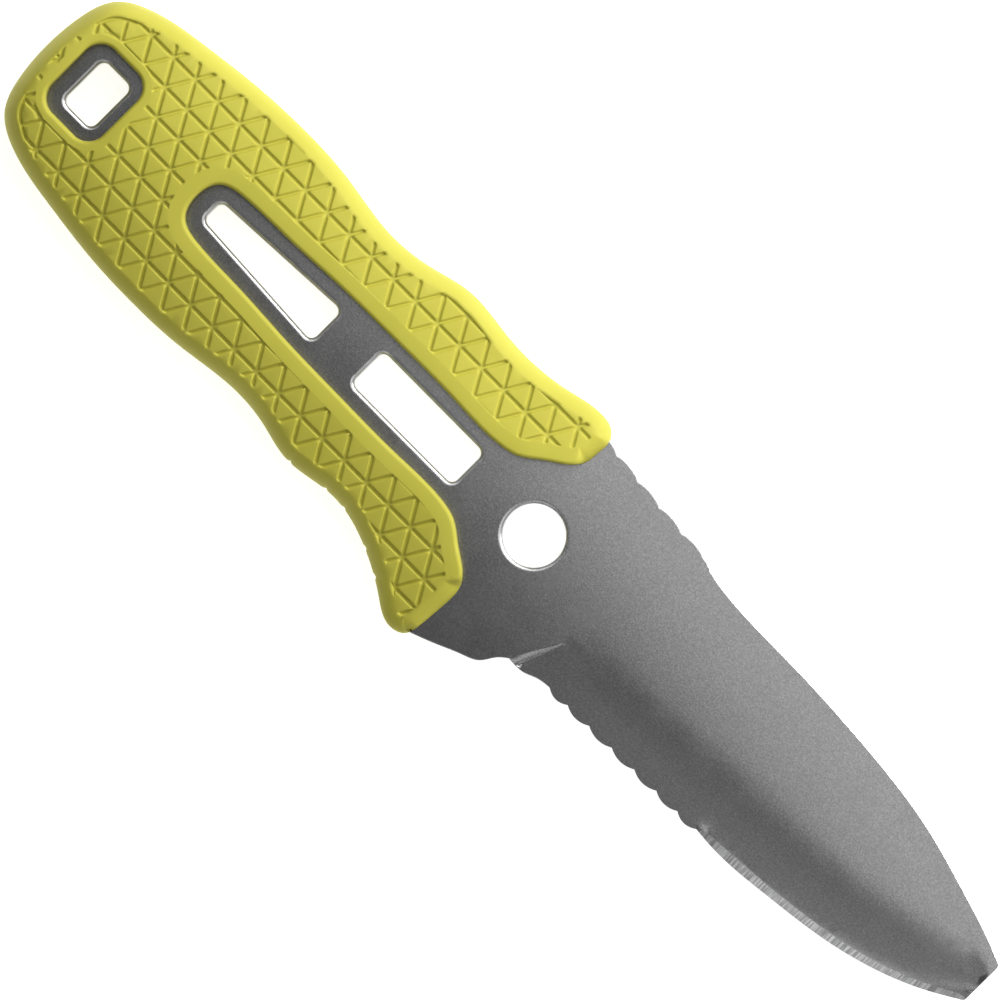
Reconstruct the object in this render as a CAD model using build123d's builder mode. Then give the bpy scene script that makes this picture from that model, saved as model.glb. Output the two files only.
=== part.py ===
"""Blunt-tip rescue knife: one steel blade and tang, two moulded grip shells and eight hidden pins.

Frame: +X runs from the grip to the blunt tip, +Y from the cutting edge to the spine, and +Z along the knife's
thickness. The origin is the centre of the round tool hole, in the middle of the steel's thickness.
Lengths are in millimetres.
"""

import os

from build123d import *

os.makedirs("parts", exist_ok=True)

# ---------------------------------------------------------------- steel plate and its openings
steel_thickness = 3.0
half_steel = steel_thickness / 2

# Clear sizes between the chamfered rims.
opening_chamfer = 0.4
tool_hole_radius = 4.57
slot_start, slot_end = -34.05, -13.5
slot_half_height = 3.27
slot_corner_radius = 1.1
taper_slot_start, taper_slot_end = -65.75, -42.4
taper_slot_half_heights = (1.9, 3.05)
lanyard_start, lanyard_end = -92.2, -86.35
lanyard_half_height = 4.2
lanyard_corner_radius = 1.2

# ---------------------------------------------------------------- blade outline
tip_x = 90.9
tip_low_y, tip_high_y = -3.1, 4.2
tip_spine_radius, tip_edge_radius = 1.1, 0.3
jimping_start_x = -4.5
jimping_pitch = 4.8
jimping_count = 5
jimping_bulge = 0.42
# The notches sit on a gently falling curve: its height at x = 0, its slope and how fast the slope eases off.
jimping_base_y, jimping_slope, jimping_easing = 16.62, -0.117, 0.0017
spine_points = [(28, 14.55), (40, 14.1), (55, 13.3), (70, 11.35), (80, 8.7)]
edge_points = [(50, -13.4), (60, -12.68), (70, -11.3), (80, -8.6), (86, -5.95)]
serration_cusps_x = [46.3, 42.6, 38.4, 34.0, 29.5, 25.0, 20.7, 17.1]
serration_tip_side_y, serration_grip_side_y = -13.15, -13.8
serration_depth = 0.62
heel_points = [(14.9, -14.15), (12.9, -14.93)]
heel_end = (10.0, -14.97)
choil_points = [(8.7, -16.1), (7.2, -18.2), (4.8, -19.4), (1.2, -20.95)]
steel_edge_at_grip = (-2.6, -22.45)

# ---------------------------------------------------------------- tang outline, under the grip
tang_butt_x = -97.2
tang_breaks = [0, 3, 6, 8, 10, 12, 15, 19]
tang_spine_side = [
    (-95.0, 8.8),
    (-90.0, 12.2),
    (-80.0, 14.3),
    (-64.5, 15.4),
    (-46.0, 13.6),
    (-31.5, 15.6),
    (-20.0, 15.1),
    (-11.0, 15.7),
]
tang_edge_side = [
    (-95.0, -8.8),
    (-90.0, -12.2),
    (-80.0, -14.3),
    (-64.5, -15.3),
    (-46.0, -13.6),
    (-33.0, -15.3),
    (-24.0, -14.3),
    (-14.0, -16.9),
    (-7.0, -20.9),
]

# ---------------------------------------------------------------- blade grinds
# The cutters run this far past the blade on its open sides.
past_edge_y, past_spine_y, past_tip_x = -20.0, 20.0, 93.0
# Main grind: from a line on the flat of the blade down to its foot, which leaves this half thickness.
grind_left = 0.43
grind_line = [
    (14.3, -7.25),
    (30, -7.3),
    (42, -6.2),
    (58, -5.5),
    (70, -4.3),
    (80, -1.9),
    (87, 0.0),
    (past_tip_x, 1.9),
]
grind_foot = [
    (11.5, -14.65),
    (30, -14.7),
    (46, -13.9),
    (60, -11.95),
    (70, -10.5),
    (80, -7.7),
    (86, -4.85),
    (past_tip_x, -1.0),
]
# The plunge at the grind's heel goes on below the edge to these places.
plunge_line_x, plunge_foot_x = 6.8, 9.5
# Edge bevel on the plain part of the edge: its width where it leaves the main grind, and its heights.
bevel_width = 1.25
bevel_left, bevel_right = 0.03, 0.5
bevel_cutter_top = 0.6
edge_past_tip = (past_tip_x, -1.9)
# Swedge along the spine, from the end of the jimping: from its line on the flat to the spine's outline.
swedge_left = 0.8
swedge_line = [
    (19.2, 15.2),
    (21.8, 14.2),
    (25, 13.65),
    (40, 13.2),
    (55, 12.45),
    (70, 10.45),
    (80, 7.7),
    (88, 5.15),
    (91.6, 3.6),
]
swedge_foot_start_y, swedge_foot_end_y = 16.1, 4.1
# Serrations are ground from the -Z face only, this far below the plane of the blade.
serration_run, serration_fall = 2.9, 1.0
serration_run_in = (15.5, -14.05)
serration_cutter_length = 8.0

# ---------------------------------------------------------------- grip
# Each half is crowned across its width: an arc in the middle that runs on as a straight slope.
grip_half_thickness = 6.0
crown_radius = 50.0
crown_arc_half_width = 10.0
# The crown's section is cut along the grip from in front of its front face to behind its butt.
crown_half_width = 30.0
crown_front_x, crown_length = 3.0, 110.0
# Cutters for the window go on this far past the top of the crown.
past_crown = 1.0
# Rounding of the outer flank: how far in from the outline, at each height above the middle plane.
flank_heights = [0.0, 1.6, 3.0, 4.4, 6.2]
flank_insets = [0.0, 0.15, 0.8, 1.75, 2.8]
# Outline from the front of the spine side, round the butt, to the front of the edge side. It is drawn as a
# few splines, broken at these points.
grip_breaks = [0, 2, 8, 13, 15, 17, 23, 28, 31]
grip_outline = [
    (-1.85, 16.9),
    (-2.95, 18.55),
    (-5.6, 19.2),
    (-11.5, 18.15),
    (-23.0, 17.5),
    (-31.5, 18.1),
    (-38.0, 16.6),
    (-46.0, 15.85),
    (-55.5, 17.15),
    (-64.5, 17.6),
    (-74.0, 17.15),
    (-83.0, 16.05),
    (-92.0, 14.2),
    (-97.1, 11.1),
    (-99.0, 6.0),
    (-99.5, 0.0),
    (-99.0, -6.0),
    (-97.1, -11.1),
    (-92.0, -14.25),
    (-83.0, -16.1),
    (-74.0, -17.2),
    (-64.5, -17.55),
    (-55.5, -17.1),
    (-46.0, -15.9),
    (-39.0, -16.4),
    (-33.0, -17.6),
    (-24.7, -16.6),
    (-16.1, -18.5),
    (-9.5, -22.1),
    (-5.5, -23.95),
    (-3.15, -23.1),
    (-2.4, -20.9),
]
# Window that shows the tang between the grip's two arms; it is the same above and below y = 0.
window_left_x = -68.7
window_side = [(-67.6, 3.4), (-63.5, 4.7), (-55.0, 5.0), (-45.0, 5.5), (-34.0, 5.7), (-22.0, 5.7)]
window_mouth = [(-12.6, 5.75), (-9.8, 6.45), (-6.5, 8.75), (-3.1, 11.3), (-1.95, 13.3), (-1.5, 15.0)]
window_breaks = [0, 2, 5, 7, 12]
window_end_direction = (0.3, 1)
# Ring of bare steel round the lanyard hole.
ring_start, ring_end = -94.8, -84.3
ring_half_height = 6.4
ring_corner_radius = 3.0

# ---------------------------------------------------------------- hidden locating pins
pin_radius = 1.25
pin_half_length = 3.2
pin_fit_gap = 0.02
pin_end_gap = 0.1
pin_rows = [(-13, 12.0), (-37, 10.5), (-60, 10.5), (-83, 9.8)]
pin_places = [(x, side * y) for x, y in pin_rows for side in (1, -1)]


# Where a smooth outline is broken into splines its direction turns by this much, in degrees.
break_turn = 0.2


def draw_smooth(points, breaks, start=None, end=None):
    """Draw splines through the points, broken at the given places but running on in the same direction.

    The small turn at each break keeps the stretches separate edges.
    """
    last = len(points) - 1

    def direction(place):
        if place == 0 and start:
            return Vector(*start)
        if place == last and end:
            return Vector(*end)
        return Vector(*points[min(place + 1, last)]) - Vector(*points[max(place - 1, 0)])

    for first, final in zip(breaks[:-1], breaks[1:]):
        Spline(
            *points[first : final + 1],
            tangents=[direction(first).rotate(Axis.Z, break_turn), direction(final)],
        )


def jimping_y(x):
    """Height of the gently falling line that the jimping notches sit on."""
    return jimping_base_y + jimping_slope * x + jimping_easing * x**2


def draw_jimping():
    """Shallow outward lobes with a notch between each two, drawn towards the tip."""
    for count in range(jimping_count):
        x0 = jimping_start_x + count * jimping_pitch
        x1 = x0 + jimping_pitch
        middle = (x0 + x1) / 2
        highest = (middle, jimping_y(middle) + jimping_bulge)
        ThreePointArc((x0, jimping_y(x0)), highest, (x1, jimping_y(x1)))


def serration_y(x):
    """Height of the line that the serration cusps sit on."""
    share = (x - serration_cusps_x[-1]) / (serration_cusps_x[0] - serration_cusps_x[-1])
    return serration_grip_side_y + share * (serration_tip_side_y - serration_grip_side_y)


def draw_serrations():
    """Outward lobes between the cusps, drawn from the tip side towards the grip."""
    for x0, x1 in zip(serration_cusps_x[:-1], serration_cusps_x[1:]):
        middle = (x0 + x1) / 2
        lowest = (middle, serration_y(middle) - serration_depth)
        ThreePointArc((x0, serration_y(x0)), lowest, (x1, serration_y(x1)))


def draw_steel_outline():
    """Outer outline of the blade and the tang, clockwise from the start of the jimping."""
    jimping_end_x = jimping_start_x + jimping_count * jimping_pitch
    jimping_end = (jimping_end_x, jimping_y(jimping_end_x))
    last_cusp = (serration_cusps_x[-1], serration_grip_side_y)
    draw_jimping()
    Spline(jimping_end, *spine_points, (tip_x, tip_high_y))
    Line((tip_x, tip_high_y), (tip_x, tip_low_y))
    Spline((tip_x, tip_low_y), *reversed(edge_points), (serration_cusps_x[0], serration_tip_side_y))
    draw_serrations()
    Spline(last_cusp, *heel_points, tangents=[(-1, 0.1), (-1, 0)])
    Line(heel_points[-1], heel_end)
    Spline(heel_end, *choil_points, steel_edge_at_grip)
    tang_points = [steel_edge_at_grip, *reversed(tang_edge_side), (tang_butt_x, 0), *tang_spine_side]
    tang_points.append((jimping_start_x, jimping_y(jimping_start_x)))
    draw_smooth(tang_points, tang_breaks)


def taper_slot():
    """Slot with round corners that is higher at its front end."""
    low, high = taper_slot_half_heights
    with BuildSketch() as slot:
        with BuildLine():
            Polyline(
                (taper_slot_start, low),
                (taper_slot_end, high),
                (taper_slot_end, -high),
                (taper_slot_start, -low),
                close=True,
            )
        make_face()
        fillet(slot.vertices(), slot_corner_radius)
    return slot.sketch


def steel_openings():
    """The four clear openings through the steel, as one sketch."""
    tapered = taper_slot()
    with BuildSketch() as openings:
        Circle(tool_hole_radius)
        with Locations(((slot_start + slot_end) / 2, 0)):
            RectangleRounded(slot_end - slot_start, 2 * slot_half_height, slot_corner_radius)
        with Locations(((lanyard_start + lanyard_end) / 2, 0)):
            RectangleRounded(lanyard_end - lanyard_start, 2 * lanyard_half_height, lanyard_corner_radius)
        add(tapered)
    return openings.sketch


def cutter_face(line, far_x, far_y):
    """Face between a spline along the blade and a straight side beyond the blade at far_y.

    far_x is where the straight side ends at the spline's first point.
    """
    with BuildSketch() as face:
        with BuildLine():
            Spline(*line)
            Polyline(line[-1], (line[-1][0], far_y), (far_x, far_y), line[0])
        make_face()
    return face.sketch


def wedge(upper, lower, upper_z, lower_z):
    """Cutter between two faces at two heights, that goes on upwards through the flat of the blade."""
    with BuildPart() as cutter:
        loft([Plane.XY.offset(lower_z) * lower, Plane.XY.offset(upper_z) * upper], ruled=True)
        extrude(Plane.XY.offset(upper_z) * upper, amount=half_steel)
    return cutter.part


def main_grind():
    """Flat grind from the middle of the blade to the edge, with its plunge at the heel."""
    upper = cutter_face(grind_line, plunge_line_x, past_edge_y)
    lower = cutter_face(grind_foot, plunge_foot_x, past_edge_y)
    return wedge(upper, lower, half_steel, grind_left)


def edge_bevel():
    """Sharpening bevel along the plain part of the edge."""
    edge = [(serration_cusps_x[0], serration_tip_side_y), *edge_points, (tip_x, tip_low_y), edge_past_tip]
    slope = bevel_width / (bevel_right - bevel_left)
    inner = [tuple(point)[:2] for point in inset(edge, slope * (bevel_cutter_top - bevel_left))]
    upper = cutter_face(inner, inner[0][0], past_edge_y)
    lower = cutter_face(edge, edge[0][0], past_edge_y)
    return wedge(upper, lower, bevel_cutter_top, bevel_left)


def swedge():
    """Bevel along the spine from the jimping to the tip."""
    start_x, end_x = swedge_line[0][0], swedge_line[-1][0]
    foot = [(start_x, swedge_foot_start_y), *spine_points, (end_x, swedge_foot_end_y)]
    upper = cutter_face(swedge_line, start_x, past_spine_y)
    lower = cutter_face(foot, start_x, past_spine_y)
    return wedge(upper, lower, half_steel, swedge_left)


def serration_cutter():
    """Lobed cutter that hollows the serrations from the -Z face and leaves the +Z face flat."""
    first = (serration_cusps_x[0], serration_tip_side_y)
    last = (serration_cusps_x[-1], serration_grip_side_y)
    with BuildPart() as cutter:
        with BuildSketch(Plane.XY.offset(grind_left)):
            with BuildLine():
                draw_serrations()
                below_run_in = (serration_run_in[0], past_edge_y)
                Polyline(last, serration_run_in, below_run_in, (first[0], past_edge_y), first)
            make_face()
        extrude(amount=serration_cutter_length, dir=(0, serration_run, -serration_fall))
    return cutter.part


def steel_plate():
    """Tang and blade outline as a solid plate, centred on z = 0, without its openings."""
    with BuildPart() as plate:
        with BuildSketch():
            with BuildLine():
                draw_steel_outline()
            make_face()
        extrude(amount=half_steel, both=True)
        fillet(edges().filter_by(Axis.Z).group_by(Axis.X)[-1].sort_by(Axis.Y)[-1], tip_spine_radius)
        fillet(edges().filter_by(Axis.Z).group_by(Axis.X)[-1].sort_by(Axis.Y)[0], tip_edge_radius)
    return plate.part


def inset(points, distance):
    """Points of an open outline moved towards its inside, square to the line through their neighbours."""
    moved = []
    for place, point in enumerate(points):
        before = Vector(*points[max(place - 1, 0)])
        after = Vector(*points[min(place + 1, len(points) - 1)])
        inward = (after - before).normalized().rotate(Axis.Z, 90)
        moved.append(Vector(*point) + inward * distance)
    return moved


def grip_section(distance):
    """Outer outline of the grip, set in by a distance, with its straight front face."""
    points = inset(grip_outline, distance)
    with BuildSketch() as outline:
        with BuildLine():
            draw_smooth(points, grip_breaks)
            Line(points[-1], points[0])
        make_face()
    return outline.sketch


def draw_crown():
    """Cross-section of the crowned half grip in the YZ plane."""
    centre_to_chord = (crown_radius**2 - crown_arc_half_width**2) ** 0.5
    arc_end_z = grip_half_thickness - crown_radius + centre_to_chord
    slope = crown_arc_half_width / centre_to_chord
    side_z = arc_end_z - slope * (crown_half_width - crown_arc_half_width)
    arc_start, arc_end = (-crown_arc_half_width, arc_end_z), (crown_arc_half_width, arc_end_z)
    ThreePointArc(arc_start, (0, grip_half_thickness), arc_end)
    Polyline(
        arc_end,
        (crown_half_width, side_z),
        (crown_half_width, -grip_half_thickness),
        (-crown_half_width, -grip_half_thickness),
        (-crown_half_width, side_z),
        arc_start,
    )


def draw_window():
    """Gap between the grip's two arms, closed a little in front of the grip."""
    for side in (1, -1):
        points = [(window_left_x, 0)] + [(x, side * y) for x, y in window_side + window_mouth]
        end = (window_end_direction[0], side * window_end_direction[1])
        draw_smooth(points, window_breaks, start=(0, side), end=end)
    mouth_x, mouth_y = window_mouth[-1]
    Line((mouth_x, mouth_y), (mouth_x, -mouth_y))


# ---------------------------------------------------------------- blade and tang
grind = main_grind()
bevel = edge_bevel()
spine_bevel = swedge()
serrations = serration_cutter()
plate = steel_plate()

with BuildPart() as blade_and_tang:
    add(plate)
    with BuildSketch():
        add(steel_openings())
    extrude(amount=half_steel, both=True, mode=Mode.SUBTRACT)
    flats = (faces().sort_by(Axis.Z)[0], faces().sort_by(Axis.Z)[-1])
    chamfer([edge for flat in flats for wire in flat.inner_wires() for edge in wire.edges()], opening_chamfer)
    with Locations(*pin_places):
        Hole(pin_radius + pin_fit_gap)
    for cutter in (grind, bevel, spine_bevel):
        add(cutter, mode=Mode.SUBTRACT)
        add(cutter.mirror(Plane.XY), mode=Mode.SUBTRACT)
    add(serrations, mode=Mode.SUBTRACT)
blade_and_tang.part.label = "blade_and_tang"
export_step(blade_and_tang.part, "parts/blade_and_tang.step")

# ---------------------------------------------------------------- grip shells
sections = [Plane.XY.offset(z) * grip_section(d) for z, d in zip(flank_heights, flank_insets)]

with BuildPart() as grip_shell_right:
    loft(sections, ruled=True)
    with BuildSketch(Plane.YZ.offset(crown_front_x)):
        with BuildLine():
            draw_crown()
        make_face()
    extrude(amount=-crown_length, mode=Mode.INTERSECT)
    with BuildSketch():
        with BuildLine():
            draw_window()
        make_face()
        with Locations(((ring_start + ring_end) / 2, 0)):
            RectangleRounded(ring_end - ring_start, 2 * ring_half_height, ring_corner_radius)
    extrude(amount=grip_half_thickness + past_crown, mode=Mode.SUBTRACT)
    add(plate, mode=Mode.SUBTRACT)
    with BuildSketch():
        with Locations(*pin_places):
            Circle(pin_radius + pin_fit_gap)
    extrude(amount=pin_half_length + pin_end_gap, mode=Mode.SUBTRACT)

with BuildPart() as grip_shell_left:
    add(grip_shell_right.part.mirror(Plane.XY))

for shell, node in ((grip_shell_right, "grip_shell_right"), (grip_shell_left, "grip_shell_left")):
    shell.part.label = node
    export_step(shell.part, f"parts/{node}.step")

# ---------------------------------------------------------------- locating pins
for count, place in enumerate(pin_places, start=1):
    with BuildPart() as tang_pin:
        with BuildSketch():
            with Locations(place):
                Circle(pin_radius)
        extrude(amount=pin_half_length, both=True)
    tang_pin.part.label = f"tang_pin_{count}"
    export_step(tang_pin.part, f"parts/tang_pin_{count}.step")
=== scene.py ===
"""Visual model of a blunt-tip rescue knife round its CAD frame.

The grip shells are rebuilt with their rounded flanks, lips and triangular grooves, and the blade with
softened edges. The pins stay as CAD nodes. Shape lists are in millimetres, and MM turns them into metres.
"""

import math

import bmesh
import bpy
import numpy as np
from mathutils import Matrix, Vector
from mathutils.bvhtree import BVHTree
from mathutils.geometry import delaunay_2d_cdt
from mathutils.kdtree import KDTree


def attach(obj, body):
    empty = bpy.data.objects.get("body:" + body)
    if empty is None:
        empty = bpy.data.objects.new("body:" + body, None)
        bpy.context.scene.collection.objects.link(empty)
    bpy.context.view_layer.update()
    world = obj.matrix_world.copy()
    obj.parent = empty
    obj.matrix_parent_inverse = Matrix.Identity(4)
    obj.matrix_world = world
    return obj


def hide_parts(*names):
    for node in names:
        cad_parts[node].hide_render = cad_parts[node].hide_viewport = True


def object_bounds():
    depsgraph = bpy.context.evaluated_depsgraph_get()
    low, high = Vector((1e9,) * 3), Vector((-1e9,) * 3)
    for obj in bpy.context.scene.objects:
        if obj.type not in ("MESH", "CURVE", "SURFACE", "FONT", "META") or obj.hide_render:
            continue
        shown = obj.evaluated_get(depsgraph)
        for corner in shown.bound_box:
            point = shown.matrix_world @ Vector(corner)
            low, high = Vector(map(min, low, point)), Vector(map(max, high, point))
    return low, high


MM = 0.001
# Dense points that each span of a smooth curve, and each round corner, is worked out with.
LOOP_SAMPLES, RUN_SAMPLES, CORNER_SAMPLES = 40, 30, 20
# Points that inside() tests at a time.
BATCH = 4000
# Plan points that round to the same step of 1 / KEY_SCALE millimetre are one point.
KEY_SCALE = 5000
TRIANGULATION_TOLERANCE = 1e-5

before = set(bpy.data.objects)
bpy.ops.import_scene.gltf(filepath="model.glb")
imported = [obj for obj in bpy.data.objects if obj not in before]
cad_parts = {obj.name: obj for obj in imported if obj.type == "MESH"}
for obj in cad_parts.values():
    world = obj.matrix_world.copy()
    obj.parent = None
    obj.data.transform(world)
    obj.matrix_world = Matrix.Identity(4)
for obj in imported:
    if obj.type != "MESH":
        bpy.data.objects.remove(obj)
cad_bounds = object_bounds()

# ---------------------------------------------------------------- grip sizes, in millimetres
STEEL_FACE_Z = 1.5
GRIP_TOP_Z = 6.0
CROWN_RADIUS = 50.0
CROWN_ARC_HALF_WIDTH = 10.0
FLANK_WIDTH = 2.3
FLANK_ANGLE = math.radians(55)
LIP_RADIUS = 0.6
WINDOW_BORDER = 2.4
RING_BORDER = 1.4
BORDER_FALL = 0.09
# Rows of points on the borders, this far outside the pad, so that the grooves' ends stay crisp.
BORDER_ROWS = [0.0, 0.1, 0.3, 0.6]
FRONT_FOOT_Z = 1.6
SEAM_DEPTH = 0.1
SEAM_HEIGHT = 0.14
OUTLINE_STEP = 0.36
POCKET_STEP = 1.2
# Steps of points round the flanks and lips.
ROUND_STEPS = 9
# A moved row may come this much nearer to its own loop before it counts as folded over.
FOLD_TOLERANCE = 0.03

# Outer outline from the front of the spine side, round the butt, to the front of the edge side.
GRIP_OUTLINE = [
    (-1.85, 16.9), (-2.95, 18.55), (-5.6, 19.2), (-11.5, 18.15), (-23.0, 17.5), (-31.5, 18.1),
    (-38.0, 16.6), (-46.0, 15.85), (-55.5, 17.15), (-64.5, 17.6), (-74.0, 17.15), (-83.0, 16.05),
    (-92.0, 14.2), (-97.1, 11.1), (-99.0, 6.0), (-99.5, 0.0), (-99.0, -6.0), (-97.1, -11.1),
    (-92.0, -14.25), (-83.0, -16.1), (-74.0, -17.2), (-64.5, -17.55), (-55.5, -17.1),
    (-46.0, -15.9), (-39.0, -16.4), (-33.0, -17.6), (-24.7, -16.6), (-16.1, -18.5), (-9.5, -22.1),
    (-5.5, -23.95), (-3.15, -23.1), (-2.4, -20.9),
]
# Front face beside the window's mouth, and the window from its mouth to its left end.
FRONT_FACE_EDGE_SIDE = [(-2.1, -17.5), (-1.95, -14.7), (-2.15, -13.0)]
WINDOW_SIDE = [
    (-3.1, 11.3), (-6.5, 8.75), (-9.8, 6.45), (-12.6, 5.75), (-22.0, 5.7), (-34.0, 5.7),
    (-45.0, 5.5), (-55.0, 5.0), (-63.5, 4.7), (-67.6, 3.4),
]
WINDOW_LEFT = (-68.7, 0.0)
FRONT_FACE_SPINE_SIDE = [(-2.1, 13.0), (-1.9, 14.8)]
# Ring of bare steel round the lanyard hole.
RING_X = (-94.8, -84.3)
RING_HALF_HEIGHT = 6.4
RING_RADIUS = 3.0
# Edge of the pocket that holds the tang, under the shell.
TANG_OUTLINE = [
    (-3.0, 16.9), (-11.0, 15.7), (-20.0, 15.1), (-31.5, 15.6), (-46.0, 13.6), (-64.5, 15.4),
    (-80.0, 14.3), (-90.0, 12.2), (-95.0, 8.8), (-97.2, 0.0), (-95.0, -8.8), (-90.0, -12.2),
    (-80.0, -14.3), (-64.5, -15.3), (-46.0, -13.6), (-33.0, -15.3), (-24.0, -14.3), (-14.0, -16.9),
    (-7.0, -20.9), (-3.2, -22.3),
]
# Places in front of the shell that close the pocket's edge to a loop.
PAST_FRONT = [(5.0, -22.0), (5.0, 17.0)]

# ---------------------------------------------------------------- grooves, in millimetres
CELL = 4.49
ROW = CELL * math.sqrt(3) / 2
LATTICE_X = -11.05
LATTICE_ROWS = range(-7, 7)
LATTICE_COLUMNS = range(-24, 6)
# Cells whose middle is further outside the pad than half a cell and this are left out.
LATTICE_MARGIN = 0.4
GROOVE_STEP = 0.55
# Depths across a groove, at distances from its middle.
GROOVE_OFFSETS = [0.0, 0.15, 0.27, 0.36, 0.48]
GROOVE_DEPTHS = [0.40, 0.37, 0.09, 0.01, 0.0]
# Distance from the pad's border over which the grooves fade out.
GROOVE_FADE = 0.25
# The pad's two corners at the butt have a groove along the pad's border, this far inside it.
CORNER_GROOVE_INSET = 0.28
CORNER_GROOVE_END_X = -92.4
CORNER_GROOVE_Y = (7.2, 12.6)
# Notches across the finger side's flank: places along x, half width, depth and the highest y.
FLANK_NOTCHES_X = [-32.3, -25.9, -22.1, -15.9, -12.0]
FLANK_NOTCH_HALF_WIDTH = 0.45
FLANK_NOTCH_DEPTH = 0.28
FLANK_NOTCH_TOP_Y = -12

# ---------------------------------------------------------------- steel sizes, in millimetres
# Rounding of the outer edge: at most this, at most a share of the thickness, and at least a little.
EDGE_SOFTNESS = 0.12
EDGE_SHARE = 0.3
EDGE_DROP_LEAST, EDGE_WIDTH_LEAST = 0.004, 0.03
EDGE_TURNS = (0, 30, 60, 90)
# Where the thickness is read, where the rounding's foot stands, and a row beyond it.
THICKNESS_INSET, FOOT_GAP, GUARD_GAP = 0.03, 0.01, 0.04
# Free points keep this far from the outer edge and from the openings.
EDGE_CLEARANCE, OPENING_CLEARANCE = 0.42, 0.9
# Rounded rim of the openings: distance from the clear opening and height, up onto the flat.
RIM_PROFILE = [
    (0.0, 1.06), (0.03, 1.16), (0.1, 1.28), (0.22, 1.39), (0.34, 1.455), (0.46, 1.49), (0.58, 1.5),
    (0.74, 1.5),
]
RIM_WIDTH = 0.55
# The main grind's crease is blended this far to each side. The blend comes in along x over a run-in,
# goes out near bevel and swedge, and isn't used above a height.
GRIND_BLEND = 4.0
GRIND_BLEND_SAMPLES = 9
GRIND_BLEND_START_X, GRIND_BLEND_RUN_IN, GRIND_BLEND_TOP_Y = 15, 6, 8
GRIND_BLEND_ROOM = 2
# Rows of points beside a sharp crease, and how many lie across the blended one.
SHARP_ROWS = (-0.15, -0.05, 0.05, 0.15)
GRIND_ROWS = 7
# Field of points over each face, and the finer one over the hollowed serrations: x and y runs, and step.
FIELD_STEP = 2.2
FIELD_ROW_SHARE = 0.87
FIELD_ROWS = range(-12, 12)
FIELD_X = (-100, 95)
SERRATION_FIELD_X, SERRATION_FIELD_Y, SERRATION_FIELD_STEP = (15.6, 47.6), (-14.6, -10.2), 0.4
# Height from which the CAD steel is probed.
PROBE_Z = 20.0
# Faces whose normal is flatter than this are the steel's walls.
UPRIGHT_NORMAL_Z = 0.2
# Steps of points along the steel's outline, by place.
STEEL_STEP, TIP_SPINE_STEP, TIP_EDGE_STEP, HEEL_STEP, TANG_STEP = 0.4, 0.2, 0.12, 0.3, 0.8
CREASE_STEP, CREASE_RUN_STEP = 0.8, 0.5
OPENING_STEP = 0.35
TOOL_HOLE_RADIUS, TOOL_HOLE_POINTS = 4.57, 72
FRONT_SLOT_X, FRONT_SLOT_HALF_HEIGHT = (-34.05, -13.5), 3.27
TAPER_SLOT_X, TAPER_SLOT_HALF_HEIGHTS = (-65.75, -42.4), (1.9, 3.05)
LANYARD_X, LANYARD_HALF_HEIGHT = (-92.2, -86.35), 4.2
SLOT_RADIUS, LANYARD_RADIUS = 1.1, 1.2
# Degrees at which the tapered slot's corners start to turn, clockwise from its upper front one.
TAPER_SLOT_TURNS = (92, 0, -88, -180)
JIMPING_START, JIMPING_PITCH, JIMPING_NOTCHES = -4.5, 4.8, 5
JIMPING_DEPTH, JIMPING_POINTS = 0.42, 14
# Line under the jimping: its height at x = 0, its slope and its bend.
JIMPING_LINE = (16.62, -0.117, 0.0017)
SPINE_POINTS = [(28, 14.55), (40, 14.1), (55, 13.3), (70, 11.35), (80, 8.7)]
TIP_SPINE_CORNER = [(89.9, 4.75), (90.45, 4.35), (90.8, 3.8), (90.9, 3.2)]
TIP_EDGE_CORNER = [(90.9, -2.75), (90.8, -3.03), (90.55, -3.3)]
EDGE_POINTS = [(50, -13.4), (60, -12.68), (70, -11.3), (80, -8.6), (86, -5.95)]
SERRATION_CUSPS_X = [46.3, 42.6, 38.4, 34.0, 29.5, 25.0, 20.7, 17.1]
# The cusps lie on a line between these two places along x, at these two heights.
SERRATION_LINE = ((17.1, 46.3), (-13.8, -13.15))
SERRATION_DEPTH, SERRATION_POINTS = 0.62, 18
HEEL_POINTS = [(14.9, -14.15), (12.9, -14.93), (10.0, -14.97)]
CHOIL_POINTS = [(10.0, -14.97), (8.7, -16.1), (7.2, -18.2), (4.8, -19.4), (1.2, -20.95), (-2.6, -22.45)]
# Creases of the blade.
GRIND_LINE = [
    (14.3, -7.25), (30, -7.3), (42, -6.2), (58, -5.5), (70, -4.3), (80, -1.9), (87, 0.0),
    (90.5, 1.1),
]
BEVEL_LINE = [(47.2, -12.35), (50, -12.2), (60, -11.45), (70, -10.1), (80, -7.5), (86, -4.85), (90.4, -2.4)]
SWEDGE_LINE = [
    (19.2, 15.2), (21.8, 14.2), (25, 13.65), (40, 13.2), (55, 12.45), (70, 10.45), (80, 7.7),
    (88, 5.15), (91.6, 3.6),
]
PLUNGE_LINE = [(9.6, -15.0), (14.3, -7.25)]
PLUNGE_FOOT = [(11.5, -14.65), (14.3, -7.25)]
SERRATION_GRIND_TOP = [(17.5, -11.2), (30, -11.2), (46, -10.7)]


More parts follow.
